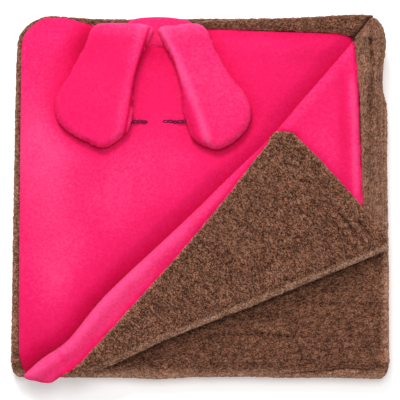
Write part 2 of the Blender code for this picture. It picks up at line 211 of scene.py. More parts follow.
def cut_flat(outline, spacing, coarse, fine):
    """A flat cut of cloth: a grid trimmed to the outline, fine near its edges and where fine says so."""
    low = outline.min(axis=0) - coarse * 0.3
    high = outline.max(axis=0) + coarse * 0.3
    count = np.ceil((high - low) / coarse).astype(int)
    bm = bmesh.new()
    bmesh.ops.create_grid(bm, x_segments=int(count[0]), y_segments=int(count[1]), size=0.5)
    bmesh.ops.scale(bm, verts=bm.verts, vec=(count[0] * coarse, count[1] * coarse, 1.0))
    middle = low + count * coarse / 2
    bmesh.ops.translate(bm, verts=bm.verts, vec=(middle[0], middle[1], 0.0))
    faces = list(bm.faces)
    centres = np.array([face.calc_center_median()[:2] for face in faces])
    away = gap_to(centres, outline)
    within = inside(centres, outline)
    detailed = (away < 1.3 * coarse) | (within & (fine(centres) if callable(fine) else fine))
    lost = ~within & (away > coarse)
    edges = dict.fromkeys(edge for face, pick in zip(faces, detailed & ~lost) if pick for edge in face.edges)
    bmesh.ops.delete(bm, geom=[face for face, drop in zip(faces, lost) if drop], context="FACES")
    cuts = max(1, round(coarse / spacing) - 1)
    bmesh.ops.subdivide_edges(bm, edges=[edge for edge in edges if edge.is_valid], cuts=cuts, use_grid_fill=True)
    plan = places(bm)[:, :2]
    away = gap_to(plan, outline)
    out = ~inside(plan, outline) & (away > 0.45 * spacing)
    bmesh.ops.delete(bm, geom=[vert for vert, drop in zip(list(bm.verts), out) if drop], context="VERTS")
    bmesh.ops.delete(bm, geom=[vert for vert in bm.verts if not vert.link_faces], context="VERTS")
    rim = [vert for vert in bm.verts if vert.is_boundary]
    spots = nearest(np.array([vert.co[:2] for vert in rim]), outline)[1]
    for vert, place in zip(rim, spots):
        vert.co = (place[0], place[1], 0.0)
    near = rim
    for _ in range(2):
        near = dict.fromkeys(other for vert in near for edge in vert.link_edges for other in edge.verts)
    near = [vert for vert in near if not vert.is_boundary]
    for _ in range(3):
        bmesh.ops.smooth_vert(bm, verts=near, factor=0.5, use_axis_x=True, use_axis_y=True)
    return bm


def laid_at(level):
    """Lays a cloth flat, with its under side at a level."""
    return lambda plan, height: np.column_stack([plan, level + height])


def sewn(name, outline, thickness, spacing, lay, coarse=8 * MM, fine=True, butt=(), edge=None, relief=None):
    """A closed piece of cloth.

    thickness is its own, relief(plan) is added to its upper side, edge is how far in its soft edge
    reaches, butt are lines where the cloth runs on into the next piece and keeps its full
    thickness, and lay(plan, height) gives each point its place.
    """
    bm = cut_flat(outline, spacing, coarse, fine)
    extruded = bmesh.ops.extrude_face_region(bm, geom=list(bm.faces))["geom"]
    raised = {item for item in extruded if isinstance(item, bmesh.types.BMVert)}
    points = places(bm)
    upper = np.array([vert in raised for vert in bm.verts])
    plan = points[:, :2]
    ends = np.roll(outline, -1, axis=0)
    kept = np.ones(len(outline), bool)
    for line in butt:
        kept &= gap_to((outline + ends) / 2, np.array(line) * MM, closed=False) > 1.5 * MM
    depth = np.full(len(plan), 1e9)
    for pair in zip(outline[kept], ends[kept]):
        depth = np.minimum(depth, gap_to(plan, np.array(pair), closed=False))
    swell = rounded(depth, edge or thickness / 2)
    full = thickness + (relief(plan) if relief else np.zeros(len(plan)))
    height = full / 2 + full / 2 * swell * np.where(upper, 1, -1)
    put(bm, lay(plan, height))
    side = bm.verts.layers.float.new("side")
    rim = bm.verts.layers.float.new("rim")
    for vert, share, far in zip(bm.verts, height / full, depth):
        vert[side], vert[rim] = share, min(far, 0.05)
    bmesh.ops.remove_doubles(bm, verts=bm.verts, dist=1e-6)
    bmesh.ops.recalc_face_normals(bm, faces=bm.faces)
    bm.normal_update()
    out = bm.verts.layers.float_vector.new("out")
    for vert in bm.verts:
        vert[out] = vert.normal
    walls = {f for f in bm.faces if max(v[side] for v in f.verts) - min(v[side] for v in f.verts) > 0.8}
    for face in walls:
        for edge in face.edges:
            edge.smooth = False
        for vert in face.verts:
            cloth = [other for other in vert.link_faces if other not in walls]
            way = sum((other.normal * other.calc_area() for other in cloth), Vector())
            if way.length > 0:
                vert[out] = way.normalized()
    return as_object(name, bm)


def as_object(name, bm):
    mesh = bpy.data.meshes.new(name)
    bm.to_mesh(mesh)
    bm.free()
    mesh.shade_smooth()
    piece = bpy.data.objects.new(name, mesh)
    bpy.context.scene.collection.objects.link(piece)
    return piece


def read(source, key, width):
    """The numbers that a mesh keeps for each of its points."""
    found = np.empty(len(source) * width, np.float32)
    source.foreach_get(key, found)
    return (found.reshape(-1, width) if width > 1 else found).astype(float)


def mesh_points(piece):
    return read(piece.data.vertices, "co", 3)


def mesh_normals(piece):
    """Which way each point's pile stands: out of the cloth, also where a piece runs on into the next."""
    kept = piece.data.attributes.get("out")
    return read(kept.data if kept else piece.data.vertex_normals, "vector", 3)


def move_points(piece, points):
    piece.data.vertices.foreach_set("co", points.astype(np.float32).ravel())
    piece.data.update()


def write_value(piece, name, values):
    attribute = piece.data.attributes.new(name, "FLOAT", "POINT")
    attribute.data.foreach_set("value", np.asarray(values, np.float32))


def give_plush(piece, height=0.9 * MM, along=None, stretch=1.8, pale=None, hollow=None):
    """Raises the plush pile in wavering ridges, longer along the way it was stroked.

    It keeps how high each point stands, and an edge value of painted light and shade: painted highlight at soft
    edges, on sides that turn away from straight up and where pale(points) says so, and painted shade where
    hollow(points) marks a crease.
    """
    points = mesh_points(piece)
    normals = mesh_normals(piece)
    combed = points.copy()
    if along is not None:
        way = np.array([*heading(along), 0.0])
        combed -= np.outer(combed @ way, way) * (1 - 1 / stretch)
    broad = np.abs(drift(combed, 1.5 * TUFT, PILE_SEED))
    narrow = np.abs(drift(combed, 0.95 * TUFT, PILE_SEED + 1))
    stand = 0.5 * ease(broad, 0.0, 0.4) + 0.3 * ease(narrow, 0.0, 0.4) + 0.2 * (drift(points, 9 * MM, 5) + 1) / 2
    inset = read(piece.data.attributes["rim"].data, "value", 1)
    # painted highlight within a few millimetres of a soft edge, and on sides that turn away from straight up
    edge = RIM_HIGHLIGHT * (1 - ease(inset, 0.5 * MM, 3.5 * MM))
    edge = np.maximum(edge, 1.6 * RIM_HIGHLIGHT * (1 - ease(np.abs(normals[:, 2]), 0.2, 0.8)))
    if pale:
        edge = np.maximum(edge, pale(points))
    # painted shade in the creases and grooves that hollow marks
    if hollow:
        shaded = hollow(points)
        edge = edge * (1 - np.clip(shaded, 0, 1)) - 0.55 * shaded
    stray = (0.35 + 0.5 * np.clip(edge, 0, 1)) * MM * drift(points, 1.3 * MM, PILE_SEED + 2)
    shown = ease(read(piece.data.attributes["side"].data, "value", 1), 0.15, 0.5)  # 0 on the hidden under side
    move_points(piece, points + normals * (((stand - 0.4) * height + stray) * shown)[:, None])
    write_value(piece, "pile", stand)
    write_value(piece, "edge", edge)


def give_velour(piece, height=0.10 * MM, tone=None):
    """The faint short nap of velour, and a tone for each place: random patches, plus the painted shade and highlight
    that tone(points) gives.
    """
    points = mesh_points(piece)
    nap = drift(points, 5 * MM, 31) * 0.6 + drift(points, 2.4 * MM, 32) * 0.4
    move_points(piece, points + mesh_normals(piece) * (nap * height)[:, None])
    depth = 0.12 * drift(points, 60 * MM, 33) + 0.10 * drift(points, 22 * MM, 34) + 0.06 * nap
    write_value(piece, "tone", depth + (tone(points) if tone else 0.0))


# ---- Finishes ----
def linear(code):
    """An sRGB hex colour as the linear colour that a shader takes."""
    parts = [int(code[index : index + 2], 16) / 255 for index in (1, 3, 5)]
    return (*[part / 12.92 if part <= 0.04045 else ((part + 0.055) / 1.055) ** 2.4 for part in parts], 1.0)


def add(tree, kind, settings=None, links=None):
    """Adds a node with its settings and links.

    A setting's key is a socket's name or number, or .name for the node's own.
    """
    node = tree.nodes.new("ShaderNode" + kind)
    for key, value in (settings or {}).items():
        if isinstance(key, str) and key.startswith("."):
            setattr(node, key[1:], value)
        else:
            node.inputs[key].default_value = value
    for key, source in (links or {}).items():
        tree.links.new(source, node.inputs[key])
    return node


def new_finish(name):
    """An empty material, its node tree, and the place of each point on its piece."""
    material = bpy.data.materials.new(name)
    material.use_nodes = True
    tree = material.node_tree
    tree.nodes.clear()
    return material, tree, add(tree, "TexCoord").outputs["Object"]


def maths(tree, operation, *values):
    """One sum, whose values are numbers or other nodes' outputs."""
    settings = {slot: value for slot, value in enumerate(values) if isinstance(value, float)}
    links = {slot: value for slot, value in enumerate(values) if slot not in settings}
    return add(tree, "Math", {".operation": operation, **settings}, links).outputs[0]


def noise(tree, where, size, detail, roughness=0.5, distortion=0.0, out="Fac"):
    """Noise whose bumps are size millimetres wide."""
    settings = {"Scale": 1 / (size * MM), "Detail": detail, "Roughness": roughness, "Distortion": distortion}
    return add(tree, "TexNoise", settings, {"Vector": where}).outputs[out]


def ranged(tree, source, start, end, low, high):
    """Low where the source is at its start, high at its end, and even between."""
    settings = {"From Min": start, "From Max": end, "To Min": low, "To Max": high}
    return add(tree, "MapRange", settings, {"Value": source}).outputs["Result"]


def ramp(tree, source, stops):
    node = add(tree, "ValToRGB", {}, {"Fac": source})
    band = node.color_ramp
    while len(band.elements) < len(stops):
        band.elements.new(0.5)
    for element, (place, code) in zip(band.elements, stops):
        element.position = place
        element.color = linear(code)
    return node.outputs["Color"]


def ridge(tree, source, reach, rise):
    """0 along the wavering lines where a noise crosses its middle, and rise away from them."""
    away = maths(tree, "ABSOLUTE", maths(tree, "SUBTRACT", source, 0.5))
    return ranged(tree, away, 0.0, reach, 0.0, rise)


def attribute(tree, name):
    return add(tree, "Attribute", {".attribute_name": name}).outputs["Fac"]


def bumped(tree, height, strength, distance):
    return add(tree, "Bump", {"Strength": strength, "Distance": distance}, {"Height": height}).outputs["Normal"]


def surfaced(material, settings, links):
    shader = add(material.node_tree, "BsdfPrincipled", settings, links)
    add(material.node_tree, "OutputMaterial", {}, {"Surface": shader.outputs["BSDF"]})
    return material


PLUSH_STOPS = (0.12, 0.36, 0.62, 0.86, 1.12)  # the levels of the plush's five colours


def plush_finish(name, stroke, depth, colours):
    """Coral fleece: knitted polyester whose loops are cut and clump together.

    Its clumps are dull brown and its gaps dark, partly as painted shade between the clumps; the edge attribute adds
    painted highlight at soft and folded edges and painted shade in creases.
    """
    material, tree, where = new_finish(name)
    # the clumps waver, and lie longer along the stroke
    bend = noise(tree, where, 3.03, 1.0, out="Color")
    waver = {".operation": "MULTIPLY_ADD", 1: (2.6 * MM, 2.6 * MM, 2.6 * MM)}
    shift = add(tree, "VectorMath", waver, {0: bend, 2: where})
    turn = {".vector_type": "TEXTURE", "Rotation": (0.0, 0.0, math.radians(stroke)), "Scale": (1.45, 0.88, 1.0)}
    turned = add(tree, "Mapping", turn, {"Vector": shift.outputs[0]}).outputs[0]
    gaps = ridge(tree, noise(tree, turned, 2.5, 2.0, 0.6, 0.4), 0.085, depth)
    lines = ridge(tree, noise(tree, turned, 1.111, 1.0), 0.07, 0.45 * depth)
    fibre = noise(tree, where, 0.6667, 2.0, 0.6)
    clumps = maths(tree, "ADD", maths(tree, "MULTIPLY_ADD", attribute(tree, "pile"), 0.20, gaps), lines)
    rough = maths(tree, "MULTIPLY_ADD", fibre, 0.34, clumps)
    level = maths(tree, "ADD", rough, 0.165 - depth)
    # the edge attribute brings painted highlight and painted shade into the colour level
    pale = maths(tree, "MULTIPLY_ADD", attribute(tree, "edge"), 0.36, level)
    colour = ramp(tree, pale, tuple(zip(PLUSH_STOPS, colours)))
    patch = ranged(tree, noise(tree, where, 22.22, 3.0, 0.55), 0.3, 0.7, 0.88, 1.10)
    tone = add(tree, "HueSaturation", {"Saturation": 1.0}, {"Color": colour, "Value": patch}).outputs["Color"]
    settings = {"Roughness": 0.95, "Specular IOR Level": 0.1, "Sheen Weight": 0.12, "Sheen Roughness": 0.5}
    settings["Sheen Tint"] = linear(colours[3])
    return surfaced(material, settings, {"Base Color": tone, "Normal": bumped(tree, rough, 0.7, 1.1 * MM)})


def velour_finish(name):
    """Velour fleece: short brushed polyester nap.

    Its tone attribute brings painted shade to creases and valleys and painted highlight to ridges and edges, over
    small random variation.
    """
    material, tree, where = new_finish(name)
    both = maths(tree, "ADD", noise(tree, where, 1.0, 3.0, 0.65), noise(tree, where, 3.333, 4.0, 0.65))
    fine = maths(tree, "MULTIPLY_ADD", both, 0.30, 0.32)
    level = maths(tree, "MULTIPLY_ADD", attribute(tree, "tone"), 0.25, fine)
    # the darkest stops are reached where the tone attribute paints shade
    colour = ramp(tree, level, ((0.06, "#9C0029"), (0.34, "#D00046"), (0.62, "#EC1C63"), (0.90, "#F5508C")))
    settings = {"Roughness": 0.9, "Specular IOR Level": 0.15, "Sheen Weight": 0.12, "Sheen Roughness": 0.4}
    settings["Sheen Tint"] = linear("#FF4F90")
    return surfaced(material, settings, {"Base Color": colour, "Normal": bumped(tree, both, 0.35, 0.4 * MM)})


def thread_finish(name):
    """Embroidery thread: twisted polyester, a dull satin with a fine lay across it."""
    material, tree, where = new_finish(name)
    lay = noise(tree, where, 0.5556, 1.0)
    colour = ramp(tree, lay, ((0.35, "#4A0028"), (0.65, "#7A0A48")))
    settings = {"Roughness": 0.7, "Specular IOR Level": 0.2}
    return surfaced(material, settings, {"Base Color": colour, "Normal": bumped(tree, lay, 0.4, 0.2 * MM)})


# the palest colours are reached mostly where the edge value paints highlight
PLUSH_COLOURS = ("#1B0D08", "#543325", "#8B5D48", "#BD8C73", "#DFB59C")
BORDER_COLOURS = ("#25130C", "#6B4837", "#A2745F", "#C09179", "#DFB8A1")
PLUSH = plush_finish("coral_fleece_brown_brushed", 8, 0.38, PLUSH_COLOURS)
PLUSH_STROKED = plush_finish("coral_fleece_brown_stroked", -42, 0.48, PLUSH_COLOURS)
PLUSH_ROLLED = plush_finish("coral_fleece_brown_rolled", 80, 0.36, BORDER_COLOURS)
VELOUR = velour_finish("velour_fleece_pink_brushed")
THREAD = thread_finish("embroidery_thread_plum_twisted")


def stands_for(piece, body, nodes, finish, blended=None):
    """Dresses a finished piece and gives it its place in the frame."""
    piece.data.materials.append(finish)
    if blended:
        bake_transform(piece)
    else:
        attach(piece, body)
    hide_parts(*nodes)
    return piece


# ---- Camera, light and floor ----
VIEW_ELEVATION = math.radians(82)
VIEW_DISTANCE = 2.6
VIEW_WIDTH = 0.4244  # how much the view takes in at the height of the hood
VIEW_AIM = Vector((-0.0005, -0.0032, 0.038))
FILM = 36.0


def studio():
    camera = bpy.data.objects.new("camera", bpy.data.cameras.new("camera"))
    camera.data.sensor_width = FILM
    camera.data.lens = FILM * VIEW_DISTANCE / VIEW_WIDTH
    back = Vector((0.0, -math.cos(VIEW_ELEVATION), math.sin(VIEW_ELEVATION)))
    camera.location = VIEW_AIM + back * VIEW_DISTANCE
    camera.rotation_mode = "QUATERNION"
    camera.rotation_quaternion = (-back).to_track_quat("-Z", "Y")
    camera.data.clip_end = 20.0
    bpy.context.scene.collection.objects.link(camera)
    bpy.context.scene.camera = camera
    bpy.context.scene.view_settings.view_transform = "Standard"

    world = bpy.data.worlds.new("studio_air")
    world.use_nodes = True
    sky = world.node_tree.nodes["Background"].inputs
    sky["Color"].default_value = (1.0, 1.0, 1.0, 1.0)
    sky["Strength"].default_value = 0.41
    bpy.context.scene.world = world

    for name, place, size, power in (
        ("softbox_back", (-0.35, 1.25, 1.45), 0.7, 21.0),
        ("softbox_top", (0.1, 0.35, 2.2), 1.0, 20.0),
    ):
        light = bpy.data.objects.new(name, bpy.data.lights.new(name, "AREA"))
        light.data.shape = "SQUARE"
        light.data.size = size
        light.data.energy = power
        light.location = place
        light.rotation_mode = "QUATERNION"
        light.rotation_quaternion = (-Vector(place)).to_track_quat("-Z", "Y")
        bpy.context.scene.collection.objects.link(light)

    bm = bmesh.new()
    bmesh.ops.create_grid(bm, x_segments=2, y_segments=2, size=4.0)
    floor = as_object("floor", bm)
    material, tree, where = new_finish("matt_white_board")
    rough = ranged(tree, noise(tree, where, 11.11, 2.0), 0.0, 1.0, 0.85, 0.95)
    settings = {"Base Color": linear("#F7F7F7"), "Specular IOR Level": 0.1}
    settings |= {"Emission Color": linear("#FFFFFF"), "Emission Strength": 0.29}
    surfaced(material, settings, {"Roughness": rough})
    floor.data.materials.append(material)


studio()


# ---- Lines that several pieces share, in millimetres ----
DIAGONAL = [
    (163.5, 168.2), (139.1, 139.4), (101.2, 95.7), (74.2, 62.9), (30.9, 21.8), (-7, -16.4), (-50.4, -57.5),
    (-82.9, -87.5), (-109.9, -114.7), (-136.3, -150), (-149.1, -160.7), (-161.8, -168.2), (-170.3, -174.7),
    (-180.9, -184.3), (-185.7, -189.7),
]
DIAGONAL_LINE = np.array(DIAGONAL) * MM
CREASE_START = np.array((-144.2, -189.55))
CREASE_END = np.array((195.5, -41.1))
CREASE_RUN = (CREASE_END - CREASE_START) / np.linalg.norm(CREASE_END - CREASE_START)
CREASE_OUT = np.array((CREASE_RUN[1], -CREASE_RUN[0]))  # away from the turned corner
KEEN_EDGE = [
    (-149.1, -194.7), (-140.6, -188.2), (-127.9, -179.7), (-104.5, -153.7), (-77.3, -123.7), (-50.4, -93.6),
    (-23.2, -63.6), (3.7, -30.7), (30.9, 2.1), (52.5, 32.1), (71.6, 55.3), (75.9, 66.8), (87.5, 70), (99.2, 66.8),
    (101.2, 63.6),
]
FREE_EDGE = [(120.2, 45.8), (147.3, 15.7), (172.2, -13.1), (199, -44)]

LEFT_EAR = [
    (-113.9, 185.3), (-110.7, 187), (-102.2, 188.1), (-86.1, 188.2), (-70.1, 187.7), (-59.4, 187), (-53.5, 185.3),
    (-47.6, 183), (-49.6, 177), (-55.5, 164.6), (-59.8, 149.4), (-63.5, 135.3), (-66.1, 123.3), (-68.7, 108.2),
    (-70.6, 95.2), (-71.8, 84.4), (-73.4, 76.8), (-76.5, 70.3), (-80.8, 65), (-90.8, 56.9), (-99.3, 51.8),
    (-103.6, 51), (-109.9, 52), (-119.5, 56.3), (-131.3, 62.3), (-143, 69.8), (-150.5, 77.4), (-154.8, 86.5),
    (-156.5, 96.3), (-155.5, 106), (-151.9, 116.8), (-145.6, 129.3), (-137.2, 145), (-128.7, 161.4), (-121.4, 174.4),
    (-117.1, 182.1),
]
RIGHT_EAR = [
    (-48.4, 182), (-44.5, 184.4), (-34.7, 185.3), (-21.9, 187), (-9.1, 187.7), (-0.5, 187.2), (4.3, 184.8),
    (8.1, 179.9), (12.3, 172.3), (18.7, 161.4), (27.3, 146.7), (36.8, 129.8), (45.3, 116.3), (50.6, 106),
    (54.1, 96.3), (54.9, 88.7), (53, 79), (48.4, 70.3), (42, 62.8), (33.5, 56.3), (25, 51.5), (17.6, 49.3), (8, 52),
    (-2.6, 56.3), (-9, 61.2), (-12.2, 69.3), (-16.1, 80.1), (-19.7, 93), (-22.9, 107.1), (-27.2, 124.4),
    (-32.5, 144), (-39.5, 163.5), (-44.6, 175.5),
]


# ---- Towel, folded once at the side: one half lies on the other ----
def towel_wrinkles(points):
    """The shallow wrinkles that the fold pulls across the towel's front right."""
    x, y = points[:, 0], points[:, 1]
    total = np.zeros(len(points))
    for level, size, middle_x, reach in ((-112, 0.5, 160, 34), (-146, 0.75, 65, 50), (-160, 0.4, 150, 40)):
        bend = level * MM + 1.4 * MM * np.sin(x / 0.017 + level)
        shape = bell(y - bend, 0.0018) - 0.35 * bell(y - bend - 0.005, 0.004)
        total += size * shape * bell(x / MM - middle_x, reach)
    return total


def towel_half(name, nodes, body, seed, seen):
    """Both plies of one half and the fold between them, as one cloth wrapped round the fold's axis."""
    low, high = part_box(nodes[2])
    outer = (high.z - low.z) / 2
    middle = (high.z + low.z) / 2
    fold_x = low.x / MM
    turn = math.pi * outer / MM
    far = fold_x + turn
    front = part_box(nodes[0])[0].y / MM
    upper = [(-200, front, 1), (-199.7, -105.9), (-199.5, -41.6), (-198.9, 22.7), (-198.4, 87), (-197.9, 151.3),
             (-196.3, 172.7), (-193.7, 180.1), (-186.3, 188.6), (-176.7, 195.2), (-166.2, 198.4), (-155.7, 199),
             (-140.6, 197.4), (-111.9, 195.2), (-70, 195), (0, 195.6), (80, 196.2), (150, 196.6), (fold_x, 196.4)]
    # the ply below has the same outline, cut a little unevenly
    lower = [(2 * fold_x + turn - x, y + (0.8 if index % 2 else -0.6)) for index, (x, y) in enumerate(upper[1:-1])]
    last = (far + fold_x + 199.0, front)
    outline = softened([*upper, (far, 195.8), *lower[::-1], (*last, 1)])
    start, end, wall = fold_x * MM, far * MM, outer - 0.15 * MM

    def lay(plan, height):
        radius = outer - wall + height
        u = plan[:, 0]
        angle = np.clip((u - start) / outer, 0, math.pi)
        x = np.where(u < start, u, np.where(u > end, start - (u - end), start + radius * np.sin(angle)))
        z = middle + radius * np.cos(angle)
        y = plan[:, 1]
        near_fold = ease(x, 0.165, 0.2)
        x = x - near_fold * (7 * MM * ease(y, 0.095, 0.138) + 10 * MM * ease(y, 0.175, 0.199) ** 2)
        return np.column_stack([x, y - 3 * MM * near_fold * ease(y, 0.15, 0.197), z])

    def fine(plan):
        if not seen:
            return (plan[:, 0] > start - 4 * MM) & (plan[:, 0] < end + 4 * MM)
        x = plan[:, 0]
        lower_right = (plan[:, 1] < -0.03 + (x - 0.2) * 0.45) & (x < end)
        return lower_right | ((x > start - 6 * MM) & (x < end + 4 * MM))

    def relief(plan):
        x, y = plan[:, 0], plan[:, 1]
        ripple = 0.5 * MM * flat_drift(plan, 40 * MM, seed)
        if seen:
            on_top = ease(-x, -0.192, -0.18)
            ripple = ripple - on_top * 1.6 * MM * towel_wrinkles(plan)
            ripple = ripple * ease(y, -0.1755, -0.168)
        return ripple

    piece = sewn(name, outline, wall, PLUSH_CUT, fine=fine, edge=3.6 * MM, relief=relief, lay=lay,
                 butt=[((-200.0, front), last)])
    # painted shade in the wrinkles, painted highlight along both side folds
    give_plush(piece, height=0.7 * MM, along=8, hollow=towel_wrinkles,
               pale=lambda p: 0.85 * ease(p[:, 0], 0.189, 0.198) + 0.4 * ease(-p[:, 0], 0.190, 0.1985))
    stands_for(piece, body, nodes, PLUSH)
    return piece


towel_half("towel_lower_half", ["bottom_quarter", "second_quarter", "lower_side_fold"], "lower_half", 1, False)
towel_half("towel_upper_half", ["third_quarter", "top_quarter", "upper_side_fold"], "upper_half", 2, True)


# ---- Towel, folded again at the front ----
FRONT_GROOVE = ((0.08, 0.132, 0.152, 0.195), (1.0, 0.62, 0.4, 0.6))  # how far along, and how far round from the top


def front_fold(name, node, seed):
    """Cloth wrapped round the front fold's axis, from the lower half to the upper half."""
    low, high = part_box(node)
    outer = (high.z - low.z) / 2
    middle = (high.z + low.z) / 2
    axis_y = high.y
    is_outer = node == "front_fold_outer"
    inner = 7.45 * MM if is_outer else 0.3 * MM
    turn = math.pi * outer
    left, right, end_round = -200.0, 199.3, 9 * MM
    outline = softened([(left, 0, 1), (right, 0, 1), (right, turn / MM, 1), (left, turn / MM, 1)], 0)

    def lay(plan, height):
        x = plan[:, 0]
        near_end = np.minimum(x - left * MM, right * MM - x)
        draw_in = rounded(near_end, end_round, 0.02)
        angle = plan[:, 1] / outer
        wave = 1.2 * MM * flat_drift(plan * np.array([1.0, 0.0]), 45 * MM, seed) * np.sin(angle)
        radius = (inner + height) * (0.45 + 0.55 * draw_in) + wave
        if is_outer:
            track = np.interp(x, FRONT_GROOVE[0], FRONT_GROOVE[1])
            groove = bell(angle - track, 0.13) * ease(x, 0.07, 0.1)
            swell = bell(angle - track + 0.45, 0.3) * ease(x, 0.07, 0.12)
            relief = (1.4 * swell - 2.2 * groove) * MM * (1 - ease(x, 0.178, 0.192))
            radius = radius + relief * np.clip(height / wall, 0, 1)
        reach = np.where(draw_in < 0.999, 0.3 + 0.7 * draw_in, 1.0)
        return np.column_stack([x, axis_y - radius * np.sin(angle) * reach, middle + radius * np.cos(angle)])

    wall = outer - inner
    piece = sewn(name, outline, wall, PLUSH_CUT if is_outer else 4 * MM, edge=3 * MM, lay=lay,
                 butt=[((left, 0.0), (right, 0.0)), ((left, turn / MM), (right, turn / MM))])

    def groove_hollow(points):
        angle = np.arctan2(axis_y - points[:, 1], points[:, 2] - middle)
        angle = np.where(angle < 0, angle + 2 * math.pi, angle)
        track = np.interp(points[:, 0], FRONT_GROOVE[0], FRONT_GROOVE[1])
        reach = ease(points[:, 0], 0.07, 0.1) * (1 - ease(points[:, 0], 0.178, 0.19))
        return 0.5 * bell(angle - track, 0.10) * reach

    # painted shade in the groove, painted highlight along the bottom rim
    give_plush(piece, height=0.7 * MM, along=0, hollow=groove_hollow,
               pale=lambda p: 0.85 * ease(-p[:, 1], 0.1785, 0.188))
    start = (0.0, axis_y, middle - outer * BLEND_SHARE)
    end = (0.0, axis_y, middle + outer * BLEND_SHARE)
    stands_for(piece, "lower_half", [node], PLUSH, ("upper_half", start, end))
    return piece


front_fold("front_fold_outer_cloth", "front_fold_outer", 3)
front_fold("front_fold_inner_cloth", "front_fold_inner", 4)


# ---- Hood face ----
def lining_cloth(name, outline, share, thickness, low):
    """A hidden lining: the outline drawn in to a share of its size, cut coarsely."""
    middle = outline.mean(axis=0)
    piece = sewn(name, middle + (outline - middle) * share, thickness, 4 * MM, coarse=16 * MM, fine=False,
                 lay=laid_at(low))
    give_plush(piece, height=0.3 * MM)
    return piece


FACE_OUTLINE = [
    (-191.7, -157.5), (-192, 0), (-192, 149.8), (-191.5, 165.9), (-189.4, 176.6), (-180.9, 186.2), (-170.3, 193.7),
    (-166, 194.8), (-157.6, 194.3), (-149.1, 195.4), (-142.7, 194.3), (-133.2, 191.6), (-122.5, 188.4), (-110, 186),
    (-40, 186.5), (4.8, 184), (52.5, 180.9), (105.6, 178.7), (148, 177.7), (163.9, 174.4), (165, 150, 1),
    (-170, -191, 1), (-184, -189), (-189.8, -173.6),
]


def outside(plan, corners):
    """How far each place is outside a closed outline, and 0 inside it."""
    outline = softened(corners, 1)
    away = gap_to(plan, outline)
    return np.where(inside(plan, outline), 0.0, away)


def face_relief(plan):
    """How far the hood's face stands over a flat ply, in metres."""
    gap = -beyond(plan, DIAGONAL_LINE)  # positive on the face's side
    rise = 1.4 * MM * flat_drift(plan, 85 * MM, 7) + 0.7 * MM * flat_drift(plan, 38 * MM, 8) + 1.6 * MM
    rise = heaped(rise, plan, (4 * MM, (-158, 158), (30, 24), 35), (3.4 * MM, (-179, 70), (12, 100)),
                  (-4.2 * MM, (-128, 170), (8, 24), -35), (2.6 * MM, (100, 160), (60, 13)),
                  (3 * MM, (-60, -10), (80, 26), 45), (2.4 * MM, (-160, -110), (20, 50), -20))
    ears = np.minimum(outside(plan, LEFT_EAR), outside(plan, RIGHT_EAR))
    rise = rise * ease(ears, 2 * MM, 22 * MM) - 1 * MM * (1 - ease(ears, 2 * MM, 12 * MM))
    dip = 1 - ease(gap, 1 * MM, 20 * MM)
    return np.clip(rise * (1 - dip) - 2 * MM * dip, -2.2 * MM, 9 * MM)


def face_tone_and_shading(points):
    """Painted shade beside the diagonal, around the ears and under the crown roll, and pale and deep patches that
    are partly nap tone and partly painted light.
    """
    plan = points[:, :2]
    gap = -beyond(plan, DIAGONAL_LINE)
    left, right = outside(plan, LEFT_EAR), outside(plan, RIGHT_EAR)
    along = ease(plan @ np.array([0.7, 0.7]), -0.26, 0.2)  # 0 at the front end of the diagonal, 1 at its back end
    # pale and deep patches, partly nap tone and partly painted light; the deep ones between the ears and beside the
    # left ear are painted shade
    tone = heaped(0, plan, (0.6, (-168, 50), (36, 80)), (0.3, (-70, 10), (70, 40), 30),
                  (0.45, (-150, -90), (26, 55)), (-0.2, (110, 120), (60, 60)), (-0.25, (-48, 130), (22, 50)),
                  (-0.5, (-48, 158), (16, 16)), (-0.9, (-127, 168), (10, 24), -30))
    # painted shade beside the diagonal, under the side panel's raised edge
    tone -= (1.9 - 1.1 * along) * np.exp(-gap / ((13 - 5 * along) * MM)) + 0.35 * np.exp(-gap / (36 * MM))
    # painted shade around both ears
    tone -= 0.75 * np.exp(-left / (7 * MM)) * np.where(plan[:, 0] < -0.105, 1.0, 0.45)
    tone -= 0.7 * np.exp(-right / (7 * MM)) * np.where(plan[:, 0] > -0.01, 0.9, 0.4)
    # painted shade under the crown roll
    tone -= 0.5 * np.exp(-(0.1755 - plan[:, 1]).clip(0) / (3 * MM)) * ease(plan[:, 0], 0.0, 0.05)
    return tone


def hood_face():
    outline = softened(FACE_OUTLINE)
    base = low_z("hood_face")
    piece = sewn("hood_face_velour", outline, FACE_TOP - base, VELOUR_CUT, edge=4 * MM, relief=face_relief,
                 lay=laid_at(base))
    give_velour(piece, tone=face_tone_and_shading)
    stands_for(piece, "upper_half", ["hood_face"], VELOUR)
    low = low_z("hood_face_lining")
    lining = lining_cloth("hood_face_lining_plush", outline, 0.99, base - low - 0.3 * MM, low)
    stands_for(lining, "upper_half", ["hood_face_lining"], PLUSH)


hood_face()


# ---- Hood side panel ----
SIDE_CREASE = [(-146.2, -189.95), (172.1, -50.95)]  # where the panel runs on into its turned corner
SIDE_SUNK = 1.6 * MM  # how far the panel presses into the pile below
SIDE_SEAM = np.array([(164.5, 168.0), (169.0, 106.0), (170.5, 60.0), (171.0, 0.0)]) * MM
SIDE_OUTLINE = [*DIAGONAL, (-184.6, -192.6), (-179.8, -194.6), (-173.5, -195.2), (-167.1, -197.0), (-159.7, -197.8),
                (-154.4, -196.6), (*SIDE_CREASE[0], 1), (*SIDE_CREASE[1], 1), (172.4, -11.5), (170.3, 52.8),
                (169.2, 106.3), (168.2, 127.8), (166.6, 149.2), (165.0, 162.0), (164.2, 169.5)]


